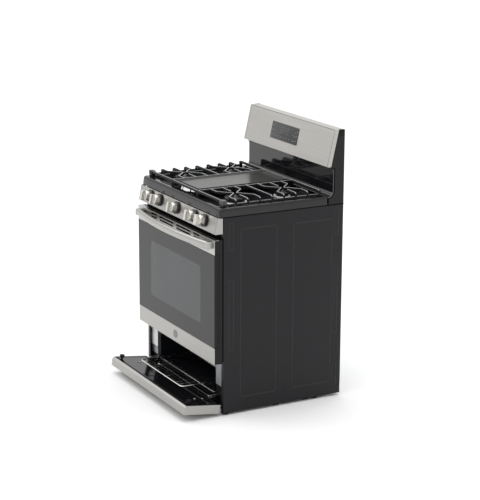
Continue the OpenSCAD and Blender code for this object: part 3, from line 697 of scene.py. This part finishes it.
def outer_end(y):
    """The end of a bar, where it bends down to the side rail."""
    return [(OUTER - 14, y), (OUTER - 6, y, GRATE_TOP - 3), (OUTER - 2.5, y, GRATE_TOP - 9)]


def burner_fingers(form, y):
    """Two bent bars that turn in towards a burner, and two straight fingers, right of centre."""
    mid, bend, close, reach = 242, 58, 9, 78
    for s in (-1, 1):
        far, near = y + s * PITCH, y + s * close
        turn_in = [(SPLIT + 3, far), (mid - bend, far), (mid - 3, near), (mid + 3, near), (mid + bend, far)]
        finger(form, turn_in + outer_end(far))
    finger(form, [(SPLIT + 3, y), (SPLIT + reach, y), (SPLIT + reach + 3, y, GRATE_TOP - 3)])
    finger(form, [(OUTER - reach - 3, y, GRATE_TOP - 3), (OUTER - reach, y)] + outer_end(y))


def side_grate(foot):
    """The right-hand grate; foot is the slot of its front outer block, which slot 3 paints lighter as if lit.
    """
    form = Form()
    front, rear = BAR_Y[0], BAR_Y[-1]
    for y in (front, BAR_Y[4], rear):
        finger(form, [(SPLIT, y)] + outer_end(y), rail=y == front)
    for y in (BAR_Y[2], BAR_Y[6]):
        burner_fingers(form, y)
    inner, outer = SPLIT + BAR_W / 2, OUTER - BAR_W / 2
    finger(form, [(inner, front - 4), (inner, rear + 4)])
    finger(form, [(outer, front - 4), (outer, rear + 4)], top=931, h=10)
    for y in BAR_Y:
        post(form, OUTER - 4.6, y, 4.4, 4.2, 924, GRATE_TOP - 6)
    post(form, OUTER - 17, front + 4, 17, 10, FEET[0][1], GRATE_TOP - 2, mat=foot)
    post(form, OUTER - 7, rear, 7, 6, FEET[1][1], GRATE_TOP - 4)
    for y, z in FEET:
        post(form, SPLIT + 5, y, 5, 4.5, z, GRATE_TOP - 3)
    return form


def centre_grate():
    """The grate that carries the griddle: two rails, and two sides and three bars that lie under it."""
    under = 933
    form = Form()
    for y, _ in FEET:
        finger(form, [(-SPLIT + 2, y), (SPLIT - 2, y)], rail=True)
    for s in (-1, 1):
        finger(form, [(s * 108.5, BAR_Y[0]), (s * 108.5, BAR_Y[-1])], top=under, h=11)
        for y, z in FEET:
            post(form, s * 115, y, 5, 4.2, z, GRATE_TOP - 3)
    for y in BAR_Y[2:7:2]:
        finger(form, [(-108, y), (108, y)], top=under, h=9)
    return form


def grates():
    """The three grates, each on its own body."""
    # foot=3 paints light on the right front block; the left block keeps the plain iron colour
    for name, form in (("grate_right", side_grate(foot=3)), ("grate_left", side_grate(foot=0).flipped()),
                       ("grate_centre", centre_grate())):
        piece(name + "_casting", form, name, CAST, (name,), sharp=50)


def griddle():
    """A cast tray: a rolled rim, a flat plate, and a drain across its far end."""
    half, front, rear = 112, 17.5, 468
    levels = [(2, 933.3, 8), (0.3, 935, 9), (0, 946, 9), (0.8, 949, 9), (2, 950, 9), (3.5, 949.4, 8),
              (6, 946.6, 7), (9, 945, 7), (13, 944.5, 8)]
    form = Form().loft([level(rounded(d - half, front + d, half - d, rear - d, r, 5), z)
                        for d, z, r in levels])
    ridge = ((-2, 944.3), (0, 946.1), (1.5, 946.3), (2.5, 944.7))
    form.loft([level(rounded(-96 + d, 447 + d, 96 - d, 463 - d, 5, 4), z) for d, z in ridge],
              caps=(False, False))
    for k in range(5):
        y = 428 + 3.2 * k
        form.tube([(-88, y, 944.6), (88, y, 944.6)], 0.9, 6)
    piece("griddle_plate", form, "griddle", "nonstick", ("griddle",), sharp=35)


def griddle_baffle():
    """Three polished fins under the griddle's front edge, hollowed so that they look out over the rim."""
    middle, head = 921, 933.2
    lean = lambda z: 21.5 + (z - middle) * (0.25 if z > middle else 0.52)
    form = Form()
    for x0, x1 in ((-62, -51), (-44, 20), (30, 62)):
        rings = []
        for x in (x1, x0):
            foot = 917 + 0.13 * x
            heights = (foot, (foot + head) / 2, head)
            rings.append([(x, lean(z), z) for z in heights] + [(x, lean(z) + 1.5, z) for z in heights[::-1]])
        form.loft(rings)
    piece("griddle_baffle", form, "griddle", "baffle_steel")


# ---------------- backguard

SEAM_X = 371.5
REAR_Y = 588
CASING_TOP = 880.6
FACE_FOOT = (506, 1046)  # y and z of the sloping face's lower edge
FACE_HEAD = (542, 1206)


def backguard():
    """The box behind the cooktop that carries the touch control."""
    dress("backguard_front", "stainless", 1.6, 3)
    backguard_seams()
    backguard_ends()
    vent_baffle()


def backguard_seams():
    """The folded seam at each end of the sloping face, and the one along its top."""
    out = Vector((0, -0.976, 0.22))
    seams = Form()
    for x in (-SEAM_X, SEAM_X):
        rings = []
        for y, z in (FACE_FOOT, FACE_HEAD):
            corners = ((-0.7, 0), (0.7, 0), (0.7, 0.15), (-0.7, 0.15))
            rings.append([Vector((x + dx, y, z)) + out * d for dx, d in corners])
        seams.loft(rings)
    seams.across([(541.2, 1204.2), (542.4, 1205.7), (542.2, 1205.9), (540.9, 1204.3)], -SEAM_X, SEAM_X)
    piece("backguard_seams", seams, "chassis", "seam")


def backguard_ends():
    """A plate that closes each end down to the cooktop, and a black cap on its upper rear corner."""
    plate = [(512, CASING_TOP), (REAR_Y, CASING_TOP), (REAR_Y, 1205.8), (560.4, 1205.8), (522.4, 1041.5),
             (542.3, 1038.5)] + arc(*BEND_AT, SPLASH_R + 7, 0, -81.5, 12)
    ends = Form().across(plate, 366.7, HALF - 0.1).across(plate, -HALF + 0.1, -366.7)
    piece("backguard_end_plates", ends, "chassis", "side_paint", ("backguard_ends",),
          bevel=1.4)
    cap = [(557.5, 1178), (587.6, 1178), (587.6, 1204), (585, 1205.9), (562, 1205.9), (560, 1203)]
    caps = Form().across(cap, 368, HALF).across(cap, -HALF, -368)
    piece("backguard_end_caps", caps, "chassis", "rubber", bevel=1.0)


def vent_baffle():
    """A channel behind the rear sheet's slots, so that nothing shows through the backguard from the front."""
    half, front, rear, sheet = 192, 566, 585.9, 1.2
    channel = [(-half, rear), (-half, front), (half, front), (half, rear), (half - sheet, rear),
               (half - sheet, front + sheet), (sheet - half, front + sheet), (sheet - half, rear)]
    form = Form().upward(channel, 990, 1062)
    piece("backguard_vent_baffle", form, "chassis", "frame_paint")


def on_face(x, up, out=0.0):
    """A place on the backguard's sloping face: along X, up the slope, and out of it."""
    run, rise = FACE_HEAD[0] - FACE_FOOT[0], FACE_HEAD[1] - FACE_FOOT[1]
    length = math.hypot(run, rise)
    run, rise = run / length, rise / length
    return (x, FACE_FOOT[0] + up * run - out * rise, FACE_FOOT[1] + up * rise + out * run)


def touch_control():
    """A glass panel with blank touch marks and the bars of a clock that is off."""
    x0, x1, u0, u1 = -150.6, 89.6, 45.4, 121.6
    steps = [(0.6, -4), (0, -3), (0, 0.2), (0.5, 0.7), (1.2, 0.9)]
    form = Form().loft([[on_face(x, u, out) for x, u in rounded(x0 + d, u0 + d, x1 - d, u1 - d, 3, 4)]
                        for d, out in steps])
    piece("touch_glass", form, "chassis", "touch_glass", ("control_glass",))
    marks = Form()
    columns = ((-138, (64, 84, 104)), (-122, (84, 112)), (48, (60, 84)), (62, (60, 80, 98)),
               (76, (64, 84, 104)))
    for x, heights in columns:
        for up in heights:
            dash(marks, x, up, 7, 2.6)
    for x in (-104, -82, -58, -32, -8, 18):
        dash(marks, x, 62, 5, 2.6)
    for digit in (-62, -44, -20, -2):
        for up in (104, 92, 80):
            dash(marks, digit, up, 9, 1.2)
    piece("touch_marks", marks, "chassis", "print")


def dash(marks, x, up, width, height):
    """One printed bar on the touch control's glass."""
    half_w, half_h = width / 2, height / 2
    outline = rounded(x - half_w, up - half_h, x + half_w, up + half_h, min(width, height) * 0.3, 2)
    marks.loft([[on_face(px, u, out) for px, u in outline] for out in (0.85, 0.97)])


# ---------------- controls

PANEL_FOOT = (-40, 809.5)
PANEL_LEAN = math.radians(11.2)
KNOB_UP = 39.3
KNOB_X = [(span("knob_%d" % k)[0][0] + span("knob_%d" % k)[1][0]) / 2 for k in range(1, 6)]


def panel_matrix(x, up=KNOB_UP):
    """Turns a form drawn round the origin, +Z outwards and +Y up the slope, to stand on the control panel."""
    y, z = PANEL_FOOT[0] + up * math.sin(PANEL_LEAN), PANEL_FOOT[1] + up * math.cos(PANEL_LEAN)
    return Matrix.Translation((x, y, z)) @ Matrix.Rotation(math.radians(90) - PANEL_LEAN, 4, "X")


def controls():
    """The sloping panel with its knobs and their stems."""
    # the control panel takes the darker stainless, painted shade
    dress("control_panel", "stainless_painted_shade", 1.0, 3)
    panel_seams()
    for k, x in enumerate(KNOB_X, 1):
        knob("knob_%d" % k, panel_matrix(x))
        dress("valve_stem_%d" % k, "steel")


def panel_seams():
    """The folded seam at each end of the control panel."""
    corners = ((-0.6, 0), (0.6, 0), (0.6, 0.15), (-0.6, 0.15))
    seams = Form()
    for x in (-SEAM_X, SEAM_X):
        stand = panel_matrix(x, 0)
        seams.loft([[stand @ Vector((dx, up, d)) for dx, d in corners] for up in (69, 1)])
    piece("panel_seams", seams, "chassis", "seam")


def knob(body, stand):
    """A plastic skirt, and a metal grip with a blade across it."""
    rim = [(TIP, 5), (25.5, 5), (27.6, 5.6), (28, 6.8), (27.4, 8.8), (24.5, 10), (TIP, 10)]
    skirt = Form().lathe(rim, (0, 0, 0), sides=56).turned(stand)
    piece(body + "_skirt", skirt, body, "black_plastic", (body,), sharp=50)
    drum = [(TIP, 9), (22.2, 9), (22.7, 9.8), (23, 11.5), (22.9, 30.5), (22.4, 33), (21.4, 34.2), (20, 34.5),
            (TIP, 34.5)]
    grip = Form().lathe(drum, (0, 0, 0), sides=64)
    blade_half, blade_reach = 7.4, 22.6
    a = math.degrees(math.asin(blade_half / blade_reach))
    blade = arc(0, 0, blade_reach, 90 - a, 90 + a, 6) + arc(0, 0, blade_reach, 270 - a, 270 + a, 6)
    grip.loft([[(x * s, y * (1 - (1 - s) * 0.35), z) for x, y in blade]
               for s, z in ((1, 33), (1, 48), (0.96, 49.3), (0.88, 49.9))])
    piece(body + "_grip", grip.turned(stand), body, "knob_metal", (body,), sharp=35)


# ---------------- oven door

DOOR_FRONT = -43.3
DOOR_HALF = 378.5
WINDOW = (-248, 390, 248, 647)
SLOT_X = [(-237, -184), (-151, -17), (17, 151), (184, 237)]
SLOT_Z = (759, 773)


def oven_door():
    """The door's CAD nodes, and the parts that are drawn anew."""
    # the bottom trim takes the darker stainless, painted shade
    for node, look, edge in (("door_top_trim", "stainless", 0.9), ("door_bottom_trim", "stainless_painted_shade", 0.9),
                             ("door_frame", "door_paint", 0.6), ("door_liner", "oven_enamel", 1.0),
                             ("door_inner_glass", "clear_glass", 0), ("door_gasket", "gasket", 3)):
        dress(node, look, edge)
    outer_glass()
    badge()
    vent_slot_painted_shade()
    handle_bar()
    handle_ends()


def outer_glass():
    """A pane that is dark all round and clearer in the window."""
    (_, _, z0), (_, _, z1) = span("door_glass")
    pane = [facing(rounded(-DOOR_HALF + d, z0 + d, DOOR_HALF - d, z1 - d, 2, 6), DOOR_FRONT + y)
            for d, y in ((1, 0), (0, 1), (0, 3.6))]
    window = facing(rounded(*WINDOW, 14, 6), DOOR_FRONT)
    rear = [(x, y + 4, z) for x, y, z in window]
    glass = Form().loft([window] + pane + [rear], caps=(False, False))
    glass.loft([rear, window], mat=1)
    looks = ["dark_glass", "window_glass"]
    piece("door_outer_glass", glass, "oven_door", looks, ("door_glass",), sharp=30)


def badge():
    """A plain disc with a raised rim on the bottom trim."""
    rim = [(TIP, 0.05), (18.4, 0.05), (18.4, 0.8), (18, 1.15), (16.6, 1.2), (15.6, 0.7), (TIP, 0.7)]
    disc = Form().lathe(rim, (0, DOOR_FRONT, 272), FORWARD, 48)
    piece("door_badge_disc", disc, "oven_door", "badge_metal", ("door_badge",), sharp=25)


def vent_slot_painted_shade():
    """A black lining round each vent slot of the top trim, painted shade for the slot."""
    slot_shades = Form()
    for x0, x1 in SLOT_X:
        for z in SLOT_Z:
            outer = rounded(x0 - 0.8, z - 0.8, x1 + 0.8, z + 6.8, 1.6, 2)
            inner = rounded(x0 + 1, z + 1, x1 - 1, z + 5, 1, 2)
            slot_shades.loft([facing(outline, DOOR_FRONT + y)
                           for outline, y in ((outer, -0.05), (outer, -0.3), (inner, -0.2), (inner, 1.9))])
    piece("vent_slot_painted_shade", slot_shades, "oven_door", "slot_black")


HANDLE_Z = 760
HANDLE_FRONT = -97
HANDLE_RISE = 28  # how far the bar bows back, HANDLE_BOW from its middle
HANDLE_BOW = 340
HANDLE_HALF = 346
POST_X = 351


def handle_bar():
    """A bowed bar of oval section."""
    steps, around, half_h, half_d = 40, 24, 17.5, 9.5
    rings = []
    for i in range(steps + 1):
        x = -HANDLE_HALF + 2 * HANDLE_HALF * i / steps
        y = HANDLE_FRONT + half_d + HANDLE_RISE * (x / HANDLE_BOW) ** 2
        slope = math.atan(2 * HANDLE_RISE * x / HANDLE_BOW ** 2)
        ring = []
        for k in range(around):
            t = 2 * math.pi * k / around
            out = half_d * math.copysign(abs(math.cos(t)) ** 0.8, math.cos(t))
            z = HANDLE_Z + half_h * math.sin(t)
            ring.append((x - out * math.sin(slope), y + out * math.cos(slope), z))
        rings.append(ring)
    piece("handle_bar", Form().loft(rings), "oven_door", "handle_metal", ("door_handle",))


def handle_ends():
    """The two capped posts that carry the bar."""
    steps = ((DOOR_FRONT, 8.5, 14, 4), (-50, 8, 13.5, 4), (-60, 8.3, 15.5, 5), (-65, 7.6, 15.5, 6),
             (-67.6, 6, 13.5, 5.5), (-68.6, 3, 10, 2.9))
    ends = Form()
    for x in (-POST_X, POST_X):
        ends.loft([facing(rounded(x - half_w, HANDLE_Z - half_h, x + half_w, HANDLE_Z + half_h, r, 5), y)
                   for y, half_w, half_h, r in steps])
    piece("handle_ends", ends, "oven_door", "end_cap_metal", ("door_handle_mounts",),
          bevel=0.8)


# ---------------- broiler

FLAP_PIVOT = Vector((0, -12, 44))
FLAP_OPEN = math.radians(82.3)
FLAP = Matrix.Translation(FLAP_PIVOT) @ Matrix.Rotation(FLAP_OPEN, 4, "X") @ Matrix.Translation(-FLAP_PIVOT)


def broiler_door():
    """Drawn closed, then laid open: a folded skin, a sunk enamelled liner, bumpers and hinge straps."""
    # the flap's skin takes the darker stainless, painted shade
    dress("broiler_door_skin", "stainless_painted_shade", 1.5, 3)
    dress("broiler_door_liner", "black_enamel")
    dress("broiler_door_straps", "black_enamel", 0.5)
    dress("broiler_door_bumpers", "rubber", 1.5, 3)
    broiler_tray()
    broiler_edge()
    broiler_screws()
    broiler_hinge_arms()


def broiler_tray():
    """The liner's sunk face."""
    steps = [(2.2, -5.2), (5, -4.2), (9, -4.6), (10.2, -7.0), (20, -7.3)]
    tray = Form().loft([facing(rounded(-375 + d, 48 + d, 375 - d, 200 - d, 6, 5), y) for d, y in steps])
    piece("broiler_door_tray", tray.turned(FLAP), "broiler_door", "tray_enamel", sharp=35)


def broiler_edge():
    """A black strip over the skin's hinge flange, painted shade, left out where the base frame's hinge lugs
    stand.
    """
    strip = [(-6.8, 47), (-3, 46.4), (-2.6, 47.2), (-2.8, 50.4), (-6.8, 50.8)]
    edge = Form()
    for x0, x1 in ((-374, -308), (-296, 296), (308, 374)):
        edge.across(strip, x0, x1)
    piece("broiler_door_edge", edge.turned(FLAP), "broiler_door", "slot_black")


def broiler_screws():
    """Two screws through each hinge strap."""
    head = [(4.6, 0), (4.6, 2), (3.6, 3.2), (TIP, 3.5)]
    screws = Form()
    for x in (-280, 280):
        for z in (85, 123):
            screws.lathe(head, (x, -4.9, z), REARWARD, 14)
    piece("broiler_door_screws", screws.turned(FLAP), "broiler_door", "end_cap_metal")


def broiler_hinge_arms():
    """A flat arm with a round end at each hinge, reaching back into the compartment."""
    arms = Form().across(arc(-26, 68.5, 7, 90, 270, 8) + [(30, 66), (30, 78)], 296.2, 299.3).mirrored()
    piece("broiler_hinge_arms", arms, "broiler_door", "steel", bevel=0.6)


def rack(name, z, rod, wire, wires, supports):
    """A wire rack: a frame of rod with round corners, wires front to back, and cross rods under them."""
    (_, y0, _), (half, y1, _) = span(name)
    form = Form()
    frame_loop = rounded(-half + rod, y0 + rod, half - rod, y1 - rod, 15, 6)
    form.tube(level(frame_loop + frame_loop[:1], z), rod, 10)
    for k in range(wires):
        x = (2 * half - 44) * ((k + 0.5) / wires - 0.5)
        form.tube([(x, y0 + rod, z), (x, y1 - rod, z)], wire, 6)
    for y in supports:
        form.tube([(-half + rod, y, z - wire - 0.6), (half - rod, y, z - wire - 0.6)], wire * 1.1, 6)
    piece(name + "_wires", form, name, "chrome_wire", (name,), sharp=60)


def racks():
    """The broiler's rack and the oven's two."""
    front = span("broiler_rack")[0][1]
    rack("broiler_rack", 100, rod=2.7, wire=1.1, wires=12, supports=(front + 260, front + 300))
    for name in ("oven_rack_lower", "oven_rack_upper"):
        low, high = span(name)
        rack(name, (low[2] + high[2]) / 2, rod=3.3, wire=1.8, wires=20, supports=(160, 330))


# ---------------- studio

FLOOR_R = 60000
LIGHTS = (("overhead", (-300, 300, 4200), (0, 200, 600), 3.0, 40),
          ("front_left", (-4200, -3800, 3800), (0, 0, 700), 3.2, 44))  # place, target, metres wide, watts


def ground():
    """A wide disc under the range."""
    form = Form().loft([level(arc(0, 0, r, 360, 0, 64)[:-1], 0) for r in (10, FLOOR_R)], caps=(True, False))
    data = bpy.data.meshes.new("floor")
    data.from_pydata([at(*v) for v in form.verts], [], form.faces)
    data.materials.append(finish("floor"))
    obj = bpy.data.objects.new("floor", data)
    bpy.context.scene.collection.objects.link(obj)


def sky():
    """A white studio, brighter overhead than round the walls."""
    world = bpy.data.worlds.new("studio")
    world.use_nodes = True
    tree = world.node_tree
    place = tree.nodes.new("ShaderNodeTexCoord")
    split = tree.nodes.new("ShaderNodeSeparateXYZ")
    ramp = tree.nodes.new("ShaderNodeMapRange")
    ramp.inputs["From Min"].default_value = 0.0
    ramp.inputs["From Max"].default_value = 1.0
    ramp.inputs["To Min"].default_value = 0.78
    ramp.inputs["To Max"].default_value = 1.75
    tree.links.new(place.outputs["Generated"], split.inputs["Vector"])
    tree.links.new(split.outputs["Z"], ramp.inputs["Value"])
    tree.links.new(ramp.outputs["Result"], tree.nodes["Background"].inputs["Strength"])
    tree.nodes["Background"].inputs["Color"].default_value = (1, 1, 1, 1)
    bpy.context.scene.world = world


def lights():
    """Two soft boxes."""
    for name, place, target, size, power in LIGHTS:
        data = bpy.data.lights.new(name, "AREA")
        data.size = size
        data.energy = power
        light = bpy.data.objects.new(name, data)
        bpy.context.scene.collection.objects.link(light)
        turn = (at(*target) - at(*place)).to_track_quat("-Z", "Y")
        light.matrix_world = Matrix.Translation(at(*place)) @ turn.to_matrix().to_4x4()


add_camera()
side_panels()
chassis_nodes()
post_plates()
broiler_sill()
kick_plate()
rear_screws()
legs()
cooktop()
cooktop_seams()
splash_edges()
burner_heads()
burner_lids()
igniter_pins()
grates()
griddle()
griddle_baffle()
backguard()
touch_control()
controls()
oven_door()
broiler_door()
racks()
ground()
sky()
lights()
bpy.context.scene.view_settings.view_transform = "Standard"
